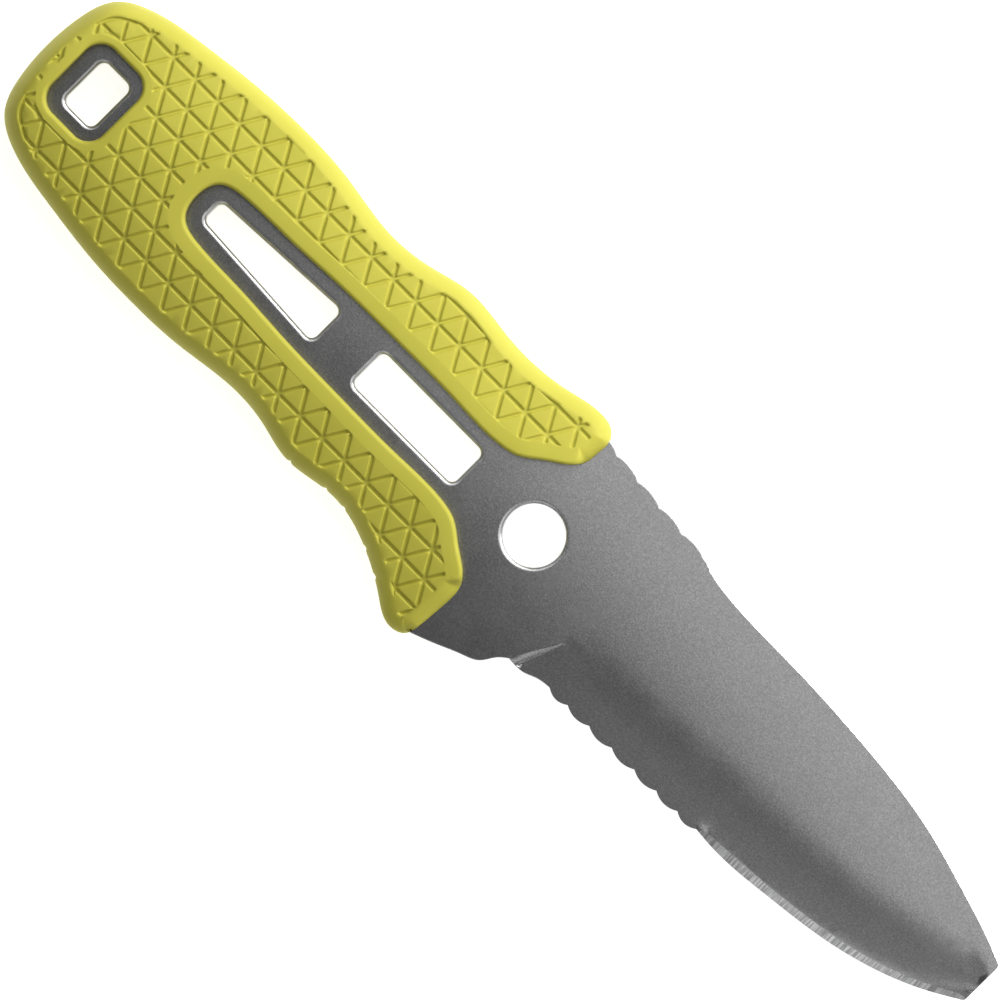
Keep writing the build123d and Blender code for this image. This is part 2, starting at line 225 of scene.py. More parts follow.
# ---------------------------------------------------------------- curves
def spline_loop(points, values, step):
    """Even points along a smooth closed curve through the points, with the values blended between them."""
    p = np.array(points, float)
    n = len(p)
    chord = np.linalg.norm(np.roll(p, -1, 0) - p, axis=1)
    before = np.roll(chord, 1)
    system = np.zeros((n, n))
    pull = 6 * ((np.roll(p, -1, 0) - p) / chord[:, None] - (p - np.roll(p, 1, 0)) / before[:, None])
    for i in range(n):
        system[i, i - 1] += before[i]
        system[i, i] += 2 * (before[i] + chord[i])
        system[i, (i + 1) % n] += chord[i]
    bend = np.linalg.solve(system, pull)
    curve, carried = [], []
    for i in range(n):
        j = (i + 1) % n
        t = np.linspace(0, 1, LOOP_SAMPLES, endpoint=False)[:, None] * chord[i]
        h = chord[i]
        near = bend[i] * (h - t) ** 3 / (6 * h) + (p[i] / h - bend[i] * h / 6) * (h - t)
        far = bend[j] * t**3 / (6 * h) + (p[j] / h - bend[j] * h / 6) * t
        curve.append(near + far)
        share = t / h
        share = share * share * (3 - 2 * share)
        carried.append(np.array(values[i]) * (1 - share) + np.array(values[j]) * share)
    return evenly(np.vstack(curve), np.vstack(carried), step)


def evenly(curve, carried, step):
    """A closed dense curve and the values it carries, sampled again at an even step."""
    closed = np.vstack([curve, curve[:1]])
    length = np.concatenate([[0], np.cumsum(np.linalg.norm(np.diff(closed, axis=0), axis=1))])
    count = int(round(length[-1] / step))
    at = np.linspace(0, length[-1], count, endpoint=False)
    values = np.vstack([carried, carried[:1]])
    points = np.column_stack([np.interp(at, length, closed[:, k]) for k in range(2)])
    return points, np.column_stack([np.interp(at, length, values[:, k]) for k in range(values.shape[1])])


def left_normals(loop):
    """Unit normals of a closed loop, to the left of its direction."""
    along = np.roll(loop, -1, 0) - np.roll(loop, 1, 0)
    along /= np.linalg.norm(along, axis=1)[:, None]
    return np.column_stack([-along[:, 1], along[:, 0]])


def rounded_rectangle(x0, x1, half_height, radius, step):
    """Clockwise loop of a rectangle with round corners, symmetric about y = 0."""
    corners = [
        (x1 - radius, half_height - radius, 90),
        (x1 - radius, radius - half_height, 0),
        (x0 + radius, radius - half_height, -90),
        (x0 + radius, half_height - radius, -180),
    ]
    dense = []
    for cx, cy, start in corners:
        turn = np.radians(start - np.linspace(0, 90, CORNER_SAMPLES))
        dense.append(np.column_stack([cx + radius * np.cos(turn), cy + radius * np.sin(turn)]))
    dense = np.vstack(dense)
    return evenly(dense, np.zeros((len(dense), 1)), step)[0]


def tree_of(points):
    """Search tree over plane points."""
    tree = KDTree(len(points))
    for i, (x, y) in enumerate(points):
        tree.insert((x, y, 0), i)
    tree.balance()
    return tree


def inside(points, loop):
    """Which points lie inside a closed loop."""
    result = np.zeros(len(points), bool)
    a, b = loop, np.roll(loop, -1, 0)
    for start in range(0, len(points), BATCH):
        part = slice(start, start + BATCH)
        x, y = points[part, 0][:, None], points[part, 1][:, None]
        spans = (a[:, 1] > y) != (b[:, 1] > y)
        with np.errstate(divide="ignore", invalid="ignore"):
            cross_x = a[:, 0] + (y - a[:, 1]) * (b[:, 0] - a[:, 0]) / (b[:, 1] - a[:, 1])
        result[part] = (np.where(spans, x < cross_x, False).sum(1) % 2) == 1
    return result


# ---------------------------------------------------------------- grip surface
def crown_z(y):
    """Height of the crowned top across the grip: an arc in the middle, then a straight slope."""
    y = np.abs(y)
    arc = np.minimum(y, CROWN_ARC_HALF_WIDTH)
    flat = math.sqrt(CROWN_RADIUS**2 - CROWN_ARC_HALF_WIDTH**2)
    drop = CROWN_RADIUS - np.sqrt(CROWN_RADIUS**2 - arc**2)
    return GRIP_TOP_Z - drop - (y - arc) * CROWN_ARC_HALF_WIDTH / flat


def grip_boundary():
    """Closed edge of a grip shell: outer outline, front faces and window.

    Each point carries its lip share (1 on the window's upright wall, 0 on the rounded flank) and the height
    of the flank's foot.
    """
    outer = [(p, 0.0, 0.0) for p in GRIP_OUTLINE]
    outer[0] = (GRIP_OUTLINE[0], 0.0, FRONT_FOOT_Z)
    outer[-1] = (GRIP_OUTLINE[-1], 0.0, FRONT_FOOT_Z)
    front_edge = [(p, 0.0, FRONT_FOOT_Z) for p in FRONT_FACE_EDGE_SIDE]
    front_spine = [(p, 0.0, FRONT_FOOT_Z) for p in FRONT_FACE_SPINE_SIDE]
    edge_arm = [((x, -y), 1.0, FRONT_FOOT_Z) for x, y in WINDOW_SIDE]
    spine_arm = [(p, 1.0, FRONT_FOOT_Z) for p in reversed(WINDOW_SIDE)]
    rows = outer + front_edge + edge_arm + [(WINDOW_LEFT, 1.0, FRONT_FOOT_Z)] + spine_arm + front_spine
    points, values = spline_loop([r[0] for r in rows], [(r[1], r[2]) for r in rows], OUTLINE_STEP)
    return points, values[:, 0], values[:, 1]


class GripField:
    """Heights of the shell's top and of its grooves, from the distances to its edges."""

    def __init__(self, edge, lip, ring):
        self.lip = lip
        self.edge_tree = tree_of(edge)
        self.ring_tree = tree_of(ring)

    def distances(self, x, y):
        """Distance to the shell's edge, that edge point's lip share, and the distance to the ring."""
        _, place, to_edge = self.edge_tree.find((x, y, 0))
        to_ring = self.ring_tree.find((x, y, 0))[2]
        return to_edge, self.lip[place], to_ring

    def pad_depth(self, x, y):
        """How far inside the grooved pad a point is; negative outside it."""
        to_edge, lip, to_ring = self.distances(x, y)
        border = FLANK_WIDTH * (1 - lip) + WINDOW_BORDER * lip
        return min(to_edge - border, to_ring - RING_BORDER)

    def inside_pad(self, path):
        """Stretches of a line inside the pad, with extra points on its border and where the grooves fade."""
        depths = [self.pad_depth(x, y) for x, y in path]
        stretches, stretch = [], []
        for k, point in enumerate(path):
            if k:
                before, after = depths[k - 1], depths[k]
                levels = [v for v in (0.0, GROOVE_FADE) if min(before, after) < v < max(before, after)]
                for level in sorted(levels, reverse=before > after):
                    stretch.append(path[k - 1] + (point - path[k - 1]) * (level - before) / (after - before))
            if depths[k] >= 0:
                stretch.append(point)
                continue
            if len(stretch) > 1:
                stretches.append(stretch)
            stretch = []
        return stretches + ([stretch] if len(stretch) > 1 else [])

    def top_z(self, x, y):
        """Height of the top without grooves: crowned, and falling a little more towards window and ring."""
        to_edge, lip, to_ring = self.distances(x, y)
        fall = lip * max(0.0, WINDOW_BORDER - to_edge) + max(0.0, RING_BORDER - to_ring)
        return float(crown_z(y)) - BORDER_FALL * fall


def groove_depth(offset):
    """Depth of a groove at a distance from its middle."""
    return float(np.interp(offset, GROOVE_OFFSETS, GROOVE_DEPTHS))


def at_corner(x, y):
    """Whether a place is at one of the pad's two corners at the butt."""
    return x < CORNER_GROOVE_END_X and CORNER_GROOVE_Y[0] < abs(y) < CORNER_GROOVE_Y[1]


def grooves_at(field, x, y):
    """Depth of the grooves at a place on the top: the lattice, and the border groove at the butt corners."""
    inside_pad = field.pad_depth(x, y)
    fade = min(1.0, max(0.0, inside_pad / GROOVE_FADE))
    depth = groove_depth(line_distance(x, y)) * fade * (2 - fade)
    if at_corner(x, y):
        depth = max(depth, groove_depth(abs(inside_pad - CORNER_GROOVE_INSET)))
    return depth


def line_distance(x, y):
    """Distance from a point to the nearest line of the triangular lattice."""
    nearest = ROW
    for angle in (0, 60, 120):
        nx, ny = -math.sin(math.radians(angle)), math.cos(math.radians(angle))
        along = ((x - LATTICE_X) * nx + y * ny) / ROW
        nearest = min(nearest, abs(along - round(along)) * ROW)
    return nearest


def lattice_paths(field):
    """Polylines along the grooves: their middles, and the same shrunk towards the middle of each cell."""
    paths = []
    for row in LATTICE_ROWS:
        for column in LATTICE_COLUMNS:
            x0 = LATTICE_X + column * CELL + (row % 2) * CELL / 2
            up = [(x0, row * ROW), (x0 + CELL, row * ROW), (x0 + CELL / 2, (row + 1) * ROW)]
            down = [up[1], (x0 + 1.5 * CELL, (row + 1) * ROW), up[2]]
            for cell in (up, down):
                middle = np.mean(cell, axis=0)
                if field.pad_depth(*middle) < -CELL / 2 - LATTICE_MARGIN:
                    continue
                for offset in GROOVE_OFFSETS:
                    shrink = 1 - offset / (ROW / 3)
                    corners = [middle + (np.array(c) - middle) * shrink for c in cell]
                    sides = (0, 1, 2) if offset or cell is up else ()
                    for side in sides:
                        a, b = corners[side], corners[(side + 1) % 3]
                        count = max(2, int(round(np.linalg.norm(b - a) / GROOVE_STEP)) + 1)
                        paths.append([a + (b - a) * t for t in np.linspace(0, 1, count)])
    return paths


class PlaneMesh:
    """Points and fixed edges for a triangulation in the plane, with near points shared."""

    def __init__(self):
        self.points, self.edges, self.found = [], [], {}

    def point(self, x, y):
        """Number of a point, which is new unless there is one in the same place."""
        key = (round(x * KEY_SCALE), round(y * KEY_SCALE))
        if key not in self.found:
            self.found[key] = len(self.points)
            self.points.append((x, y))
        return self.found[key]

    def path(self, points, closed=False):
        """Numbers of the points of a line whose spans become fixed edges."""
        ids = [self.point(x, y) for x, y in points]
        for a, b in zip(ids, ids[1:] + (ids[:1] if closed else [])):
            if a != b:
                self.edges.append((a, b))
        return ids

    def triangulate(self):
        """Points and triangles between the fixed edges."""
        vertices = [Vector(p) for p in self.points]
        made, _, faces, _, _, _ = delaunay_2d_cdt(vertices, self.edges, [], 0, TRIANGULATION_TOLERANCE)
        return np.array([tuple(v) for v in made]), np.array([tuple(f) for f in faces])


def offset_line(loop, normals, distance, tree):
    """A loop moved inwards by a distance, and which of its points don't fold over the rest of it."""
    moved = loop + normals * distance
    good = [tree.find((x, y, 0))[2] > distance - FOLD_TOLERANCE for x, y in moved]
    return moved, np.array(good)


def add_row(plane, row, wanted):
    """Fixed edges between the neighbouring points of a closed row that are both wanted."""
    for i in range(len(row)):
        j = (i + 1) % len(row)
        if wanted[i] and wanted[j]:
            plane.path([row[i], row[j]])


def add_loop(bm, points, heights):
    """New points of a mesh along a loop."""
    return [bm.verts.new((x * MM, y * MM, z * MM)) for (x, y), z in zip(points, heights)]


def add_strips(bm, loops):
    """Faces between each closed loop of points and the next one."""
    for lower, upper in zip(loops[:-1], loops[1:]):
        for i in range(len(lower)):
            j = (i + 1) % len(lower)
            bm.faces.new((lower[i], lower[j], upper[j], upper[i]))


def finished_mesh(bm, name, look_of=None):
    """Smooth mesh with outward normals, its faces' material slots chosen by look_of if it is given."""
    bmesh.ops.recalc_face_normals(bm, faces=bm.faces)
    for face in bm.faces:
        face.smooth = True
        if look_of:
            face.material_index = look_of(face)
    mesh = bpy.data.meshes.new(name)
    bm.to_mesh(mesh)
    bm.free()
    return mesh


class ShellEdges:
    """Outer edge and ring of a grip shell in the plane, and the edges of its top inside them."""

    def __init__(self):
        self.edge, self.lip, self.foot = grip_boundary()
        self.inward = left_normals(self.edge)
        self.ring = rounded_rectangle(*RING_X, RING_HALF_HEIGHT, RING_RADIUS, OUTLINE_STEP)
        self.ring_inward = left_normals(self.ring)
        self.field = GripField(self.edge, self.lip, self.ring)
        self.width = FLANK_WIDTH * (1 - self.lip) + LIP_RADIUS * self.lip
        self.top_edge = self.edge + self.inward * self.width[:, None]
        self.ring_top_edge = self.ring + self.ring_inward * LIP_RADIUS
        self.notch = self.notch_shares()

    def notch_shares(self):
        """How deep the finger side's notches cut at each point of the edge, from 0 to 1."""
        notch = np.zeros(len(self.edge))
        on_flank = (self.edge[:, 1] < FLANK_NOTCH_TOP_Y) * (self.lip < 0.5)
        for place in FLANK_NOTCHES_X:
            away = np.clip(1 - np.abs(self.edge[:, 0] - place) / FLANK_NOTCH_HALF_WIDTH, 0, 1)
            notch = np.maximum(notch, away * on_flank)
        return notch


def flank_rows(shell):
    """Rounded flank and lip: rows of places and heights from the outline up to the edge of the top."""
    lip = shell.lip
    sweep = FLANK_ANGLE * (1 - lip) + math.pi / 2 * lip
    top = np.array([shell.field.top_z(x, y) for x, y in shell.top_edge])
    base = (1 - lip) * np.where(shell.foot > 0, shell.foot, SEAM_HEIGHT) + lip * (top - LIP_RADIUS)
    rows = []
    for k in range(ROUND_STEPS + 1):
        angle = sweep * k / ROUND_STEPS
        share = (1 - np.cos(angle)) / (1 - np.cos(sweep))
        rise = np.sin(angle) / np.sin(sweep)
        cut = shell.notch * FLANK_NOTCH_DEPTH * (1 - (k / ROUND_STEPS) ** 2)
        points = shell.edge + shell.inward * (shell.width * share + cut)[:, None]
        rows.append((points, base + (top - base) * rise))
    return rows


def ring_rows(shell):
    """Rounded lip of the ring: rows of places and heights from its wall up to the edge of the top."""
    top = np.array([shell.field.top_z(x, y) for x, y in shell.ring_top_edge])
    rows = []
    for k in range(ROUND_STEPS + 1):
        angle = math.pi / 2 * k / ROUND_STEPS
        points = shell.ring + shell.ring_inward * LIP_RADIUS * (1 - math.cos(angle))
        rows.append((points, top - LIP_RADIUS * (1 - math.sin(angle))))
    return rows


def top_plan(shell):
    """Plan of the top with its grooves, and the numbers of the points on its two edges."""
    field = shell.field
    plane = PlaneMesh()
    outer_ids = plane.path(shell.top_edge, closed=True)
    ring_ids = plane.path(shell.ring_top_edge, closed=True)
    for gap in BORDER_ROWS:
        row, good = offset_line(shell.edge, shell.inward, WINDOW_BORDER - gap, field.edge_tree)
        add_row(plane, row, good & (shell.lip > 0.5))
    for gap in BORDER_ROWS:
        row, good = offset_line(shell.ring, shell.ring_inward, RING_BORDER - gap, field.ring_tree)
        add_row(plane, row, good)
    for offset in sorted({side * o for o in GROOVE_OFFSETS[:-1] for side in (1, -1)}):
        inset = FLANK_WIDTH + CORNER_GROOVE_INSET + offset
        row, good = offset_line(shell.edge, shell.inward, inset, field.edge_tree)
        add_row(plane, row, good & [at_corner(x, y) for x, y in row])
    for path in lattice_paths(field):
        for stretch in field.inside_pad(path):
            plane.path(stretch)
    return plane, outer_ids, ring_ids


def add_top(bm, shell, flank_top, ring_top):
    """Faces of the top between the last row of the flank and the last row of the ring's lip."""
    plane, outer_ids, ring_ids = top_plan(shell)
    points, faces = plane.triangulate()
    middles = points[faces].mean(axis=1)
    keep = inside(middles, shell.top_edge) & ~inside(middles, shell.ring_top_edge)
    made = dict(zip(outer_ids, flank_top))
    made.update(zip(ring_ids, ring_top))
    for face in faces[keep]:
        for i in face:
            if i not in made:
                x, y = points[i]
                z = shell.field.top_z(x, y) - grooves_at(shell.field, x, y)
                made[i] = bm.verts.new((x * MM, y * MM, z * MM))
        bm.faces.new([made[i] for i in face])


def pocket_edge(under):
    """Edge of the tang's pocket, which starts and ends on points of the underside's outline."""
    tree = tree_of(under)
    tang = open_curve(TANG_OUTLINE, POCKET_STEP)
    first = under[tree.find((*tang[0], 0))[1]]
    last = under[tree.find((*tang[-1], 0))[1]]
    return np.vstack([[first], tang[1:-1], [last]])


def sides_of_edges(faces, in_pocket):
    """For each edge of a plan, whether each face beside it lies in the pocket."""
    sides = {}
    for face, pocket in zip(faces, in_pocket):
        for a, b in ((face[0], face[1]), (face[1], face[2]), (face[2], face[0])):
            sides.setdefault((min(a, b), max(a, b)), []).append(bool(pocket))
    return sides


def add_foot(bm, ids, loop, sides, low, high):
    """Upright faces between a closed edge of the underside and the lowest row above it."""
    for k in range(len(ids)):
        n = (k + 1) % len(ids)
        a, b = ids[k], ids[n]
        pocket = sides[min(a, b), max(a, b)][0]
        made = high if pocket else low
        corners = [loop[n], loop[k]]
        if not pocket and a in high:
            corners.append(high[a])
        corners += [made[a], made[b]]
        if not pocket and b in high:
            corners.append(high[b])
        bm.faces.new(corners)


def add_underside(bm, shell, flank_foot, ring_foot):
    """Parting plane, the tang's pocket in it, and the walls up to the lowest rows of flank and ring."""
    seam = (1 - shell.lip) * np.where(shell.foot > 0.5, 0.0, 1.0)
    under = shell.edge + shell.inward * ((SEAM_DEPTH * seam) + shell.notch * FLANK_NOTCH_DEPTH)[:, None]
    plane = PlaneMesh()
    under_ids = plane.path(under, closed=True)
    ring_ids = plane.path(shell.ring, closed=True)
    tang = pocket_edge(under)
    plane.path(tang)
    points, faces = plane.triangulate()
    middles = points[faces].mean(axis=1)
    keep = inside(middles, under) & ~inside(middles, shell.ring)
    faces, middles = faces[keep], middles[keep]
    in_pocket = inside(middles, np.vstack([tang, PAST_FRONT]))
    low, high = {}, {}
    for face, pocket in zip(faces, in_pocket):
        made, z = (high, STEEL_FACE_Z) if pocket else (low, 0.0)
        for i in face:
            if i not in made:
                made[i] = bm.verts.new((points[i][0] * MM, points[i][1] * MM, z * MM))
        bm.faces.new([made[i] for i in reversed(face)])
    sides = sides_of_edges(faces, in_pocket)
    for (a, b), beside_edge in sides.items():
        if len(beside_edge) == 2 and beside_edge[0] != beside_edge[1]:
            bm.faces.new((low[a], low[b], high[b], high[a]))
    add_foot(bm, under_ids, flank_foot, sides, low, high)
    add_foot(bm, ring_ids, ring_foot, sides, low, high)


def grip_shell_mesh(name):
    """Mesh of the shell on the +Z side, in metres.

    It isn't quite closed: where grooves end at the flank, the top's edge has points that the flank's lacks.
    """
    shell = ShellEdges()
    bm = bmesh.new()
    flank = [add_loop(bm, *row) for row in flank_rows(shell)]
    add_strips(bm, flank)
    ring = [add_loop(bm, *row) for row in ring_rows(shell)]
    add_strips(bm, ring)
    add_top(bm, shell, flank[-1], ring[-1])
    add_underside(bm, shell, flank[0], ring[0])
    return finished_mesh(bm, name)


def open_curve(points, step):
    """Points at an even step along the straight runs between the points of an open line."""
    p = np.array(points, float)
    length = np.concatenate([[0], np.cumsum(np.linalg.norm(np.diff(p, axis=0), axis=1))])
    at = np.linspace(0, length[-1], int(length[-1] / step) + 1)
    return np.column_stack([np.interp(at, length, p[:, k]) for k in range(2)])


def mirrored(mesh, name):
    """Copy of a mesh on the other side of the middle plane."""
    copy = mesh.copy()
    copy.name = name
    copy.transform(Matrix.Scale(-1, 4, (0, 0, 1)))
    copy.flip_normals()
    return copy


# ---------------------------------------------------------------- blade
def arc_points(start, end, bulge, count):
    """Points along a shallow arc that bulges to the left of its direction, without the last one."""
    a, b = np.array(start, float), np.array(end, float)
    along = b - a
    left = np.array([-along[1], along[0]]) / np.linalg.norm(along)
    share = np.arange(count) / count
    return a + share[:, None] * along + (4 * bulge * share * (1 - share))[:, None] * left


def spline_run(points, step=STEEL_STEP):
    """Even points along a smooth open curve through the points, without the last one."""
    p = np.array(points, float)
    n = len(p)
    chord = np.linalg.norm(np.diff(p, axis=0), axis=1)
    system, pull = np.eye(n), np.zeros((n, 2))
    slope = np.diff(p, axis=0) / chord[:, None]
    for i in range(1, n - 1):
        system[i, i - 1 : i + 2] = chord[i - 1], 2 * (chord[i - 1] + chord[i]), chord[i]
        pull[i] = 6 * (slope[i] - slope[i - 1])
    bend = np.linalg.solve(system, pull)
    dense = []
    for i in range(n - 1):
        h = chord[i]
        t = np.linspace(0, h, RUN_SAMPLES)[:, None]
        near = bend[i] * (h - t) ** 3 / (6 * h) + (p[i] / h - bend[i] * h / 6) * (h - t)
        far = bend[i + 1] * t**3 / (6 * h) + (p[i + 1] / h - bend[i + 1] * h / 6) * t
        dense.append(near + far)
    dense = np.vstack(dense)
    length = np.concatenate([[0], np.cumsum(np.linalg.norm(np.diff(dense, axis=0), axis=1))])
    at = np.linspace(0, length[-1], max(2, int(length[-1] / step)) + 1)[:-1]
    return np.column_stack([np.interp(at, length, dense[:, k]) for k in range(2)])


def jimping_y(x):
    """Height of the gently falling line that the jimping notches sit on."""
    height, slope, bend = JIMPING_LINE
    return height + slope * x + bend * x**2


def steel_outline():
    """Outer outline of blade and tang, counterclockwise."""
    runs = []
    jimping = [JIMPING_START + JIMPING_PITCH * k for k in range(JIMPING_NOTCHES + 1)]
    jimping = [(x, jimping_y(x)) for x in jimping]
    for a, b in zip(jimping[:-1], jimping[1:]):
        runs.append(arc_points(a, b, JIMPING_DEPTH, JIMPING_POINTS))
    runs.append(spline_run([jimping[-1], *SPINE_POINTS, TIP_SPINE_CORNER[0]]))
    runs.append(spline_run(TIP_SPINE_CORNER, TIP_SPINE_STEP))
    runs.append(spline_run([TIP_SPINE_CORNER[-1], TIP_EDGE_CORNER[0]]))
    runs.append(spline_run(TIP_EDGE_CORNER, TIP_EDGE_STEP))
    cusps = [(x, np.interp(x, *SERRATION_LINE)) for x in SERRATION_CUSPS_X]
    runs.append(spline_run([TIP_EDGE_CORNER[-1], *reversed(EDGE_POINTS), cusps[0]]))
    for a, b in zip(cusps[:-1], cusps[1:]):
        runs.append(arc_points(a, b, SERRATION_DEPTH, SERRATION_POINTS))
    runs.append(spline_run([cusps[-1], *HEEL_POINTS], HEEL_STEP))
    runs.append(spline_run(CHOIL_POINTS, HEEL_STEP))
    tang = [CHOIL_POINTS[-1], *list(reversed(TANG_OUTLINE))[1:-1], jimping[0]]
    runs.append(spline_run(tang, TANG_STEP))
    return np.vstack(runs)[::-1]


def steel_openings():
    """Clear openings through the steel, each as a clockwise loop."""
    turn = np.linspace(0, -2 * math.pi, TOOL_HOLE_POINTS, endpoint=False)
    hole = np.column_stack([np.cos(turn), np.sin(turn)]) * TOOL_HOLE_RADIUS
    slot = rounded_rectangle(*FRONT_SLOT_X, FRONT_SLOT_HALF_HEIGHT, SLOT_RADIUS, OPENING_STEP)
    lanyard = rounded_rectangle(*LANYARD_X, LANYARD_HALF_HEIGHT, LANYARD_RADIUS, OPENING_STEP)
    return [hole, slot, tapered_slot(), lanyard]


def tapered_slot():
    """Slot with round corners that is higher at its front end."""
    (x0, x1), (low, high) = TAPER_SLOT_X, TAPER_SLOT_HALF_HEIGHTS
    corners = [(x1, high), (x1, -high), (x0, -low), (x0, low)]
    dense = []
    for (x, y), start in zip(corners, TAPER_SLOT_TURNS):
        cx = x - math.copysign(SLOT_RADIUS, x - (x0 + x1) / 2)
        cy = y - math.copysign(SLOT_RADIUS, y)
        turn = np.radians(start - np.linspace(0, 90, CORNER_SAMPLES))
        dense.append(np.column_stack([cx + SLOT_RADIUS * np.cos(turn), cy + SLOT_RADIUS * np.sin(turn)]))
    dense = np.vstack(dense)
    return evenly(dense, np.zeros((len(dense), 1)), OPENING_STEP)[0]


class SteelFace:
    """Heights of one face of the CAD steel, read by dropping a ray onto it."""

    def __init__(self, tree, side):
        self.tree, self.side = tree, side

    def z(self, x, y):
        """Height of the CAD face at a place, or of the nearest steel where there is none."""
        start = Vector((x, y, PROBE_Z * self.side)) * MM
        hit = self.tree.ray_cast(start, Vector((0, 0, -self.side)))[0]
        if hit is None:
            hit = self.tree.find_nearest(Vector((x, y, STEEL_FACE_Z * self.side)) * MM)[0]
        return hit.z / MM

    def soft_z(self, x, y):
        """Height with the main grind's crease blended, less and less near bevel, swedge and plunge."""
        room = min(y - line_y("bevel", x), line_y("swedge", x) - y)
        share = np.clip((room - GRIND_BLEND) / GRIND_BLEND_ROOM + 1, 0, 1)
        share *= np.clip((x - GRIND_BLEND_START_X) / GRIND_BLEND_RUN_IN, 0, 1)
        if share == 0 or y > GRIND_BLEND_TOP_Y:
            return self.z(x, y)
        shifts = np.linspace(-1, 1, GRIND_BLEND_SAMPLES)
        blended = np.mean([self.z(x, y + GRIND_BLEND * t) for t in shifts])
        return self.z(x, y) * (1 - share) + blended * share


def clear_runs(points, is_clear):
    """Stretches of a line whose points are all clear, with at least two points each."""
    runs, run = [], []
    for point in points:
        if is_clear(*point):
            run.append(tuple(point))
            continue
        if len(run) > 1:
            runs.append(run)
        run = []
    if len(run) > 1:
        runs.append(run)
    return runs


class Steel:
    """Outline, openings and faces of the steel, with the rounding of its outer edge."""

    def __init__(self, source):
        heights = bmesh.new()
        heights.from_mesh(source.data)
        tree = BVHTree.FromBMesh(heights)
        heights.free()
        self.faces = {side: SteelFace(tree, side) for side in (1, -1)}
        self.outline = steel_outline()
        self.inward = left_normals(self.outline)
        self.openings = steel_openings()
        self.edge_tree = tree_of(self.outline)
        self.opening_tree = tree_of(np.vstack(self.openings))
        near = self.outline + self.inward * THICKNESS_INSET
        thickness = np.array([self.faces[1].z(x, y) - self.faces[-1].z(x, y) for x, y in near])
        self.drop = np.clip(thickness * EDGE_SHARE, EDGE_DROP_LEAST, EDGE_SOFTNESS)
        self.width = np.maximum(self.drop, EDGE_WIDTH_LEAST)

    def clear(self, x, y):
        """Whether a place is far enough from the outer edge and the openings for a free point."""
        to_edge = self.edge_tree.find((x, y, 0))[2]
        return to_edge > EDGE_CLEARANCE and self.opening_tree.find((x, y, 0))[2] > OPENING_CLEARANCE

    def look(self, face):
        """Look of a face: walls stay blasted, and the rest depends on where it is."""
        if abs(face.normal.z) < UPRIGHT_NORMAL_Z:
            return 0
        x, y, _ = face.calc_center_median() / MM
        return facet_kind(x, y, self.opening_tree.find((x, y, 0))[2])


def add_outer_rows(plane, steel, side):
    """Rows of the rounded outer edge: the numbers of its wall's points, and the heights of all of them."""
    feet = steel.outline + steel.inward * (steel.width + FOOT_GAP)[:, None]
    foot_z = np.array([steel.faces[side].z(x, y) for x, y in feet])
    rows, heights = [], {}
    for degrees in EDGE_TURNS:
        turn = math.radians(degrees)
        row = steel.outline + steel.inward * (steel.width * (1 - math.cos(turn)))[:, None]
        rows.append(plane.path(row, closed=True))
        heights.update(zip(rows[-1], foot_z - side * steel.drop * (1 - math.sin(turn))))
    plane.path(steel.outline + steel.inward * (2 * steel.width + GUARD_GAP)[:, None], closed=True)
    return rows[0], heights


def add_rim_rows(plane, loop, side):
    """Rows of an opening's rounded rim: the numbers of its wall's points, and the heights of all of them."""
    normals = left_normals(loop)
    rows, heights = [], {}
    for distance, z in RIM_PROFILE:
        rows.append(plane.path(loop + normals * distance, closed=True))
        heights.update((i, side * z) for i in rows[-1])
    return rows[0], heights


def steel_plan(steel, side):
    """Plan of one side: its points and edges, its walls' point numbers and the heights that are given."""
    plane = PlaneMesh()
    wall, given = add_outer_rows(plane, steel, side)
    walls = [wall]
    for loop in steel.openings:
        wall, heights = add_rim_rows(plane, loop, side)
        walls.append(wall)
        given.update(heights)
    for line, shifts in crease_lines(side):
        run = spline_run(line, CREASE_STEP)
        for shift in shifts:
            for stretch in clear_runs(beside(run, shift), steel.clear):
                plane.path(stretch)
    for x, y in field_points(side):
        if steel.clear(x, y):
            plane.point(x, y)
    return plane, walls, given


def add_steel_side(bm, steel, side):
    """Faces of one side of the steel; returns the points of its walls, loop by loop."""
    plane, walls, given = steel_plan(steel, side)
    points, faces = plane.triangulate()
    middles = points[faces].mean(axis=1)
    keep = inside(middles, steel.outline)
    for loop in steel.openings:
        keep &= ~inside(middles, loop)
    made = {}
    for triangle in faces[keep]:
        for i in triangle:
            if i not in made:
                x, y = points[i]
                z = given[i] if i in given else steel.faces[side].soft_z(x, y)
                made[i] = bm.verts.new((x * MM, y * MM, z * MM))
        bm.faces.new([made[i] for i in triangle])
    return [[made[i] for i in ids] for ids in walls]


def blade_mesh(source, name):
    """Steel of blade and tang with softened edges, its heights taken from the CAD node, in metres."""
    steel = Steel(source)
    bm = bmesh.new()
    upper_walls = add_steel_side(bm, steel, 1)
    lower_walls = add_steel_side(bm, steel, -1)
    for upper, lower in zip(upper_walls, lower_walls):
        add_strips(bm, [upper, lower])
    return finished_mesh(bm, name, steel.look)


def beside(run, shift):
    """An open line moved sideways, to its left."""
    along = np.gradient(run, axis=0)
    along /= np.linalg.norm(along, axis=1)[:, None]
    return run + np.column_stack([-along[:, 1], along[:, 0]]) * shift


def field_points(side):
    """Points spread over one face: a coarse field, and a fine one over the hollowed serrations."""
    points = [
        (x + (row % 2) * FIELD_STEP / 2, row * FIELD_STEP * FIELD_ROW_SHARE)
        for row in FIELD_ROWS
        for x in np.arange(*FIELD_X, FIELD_STEP)
    ]
    if side < 0:
        places_x = np.arange(*SERRATION_FIELD_X, SERRATION_FIELD_STEP)
        places_y = np.arange(*SERRATION_FIELD_Y, SERRATION_FIELD_STEP)
        points += [(x, y) for x in places_x for y in places_y]
    return points


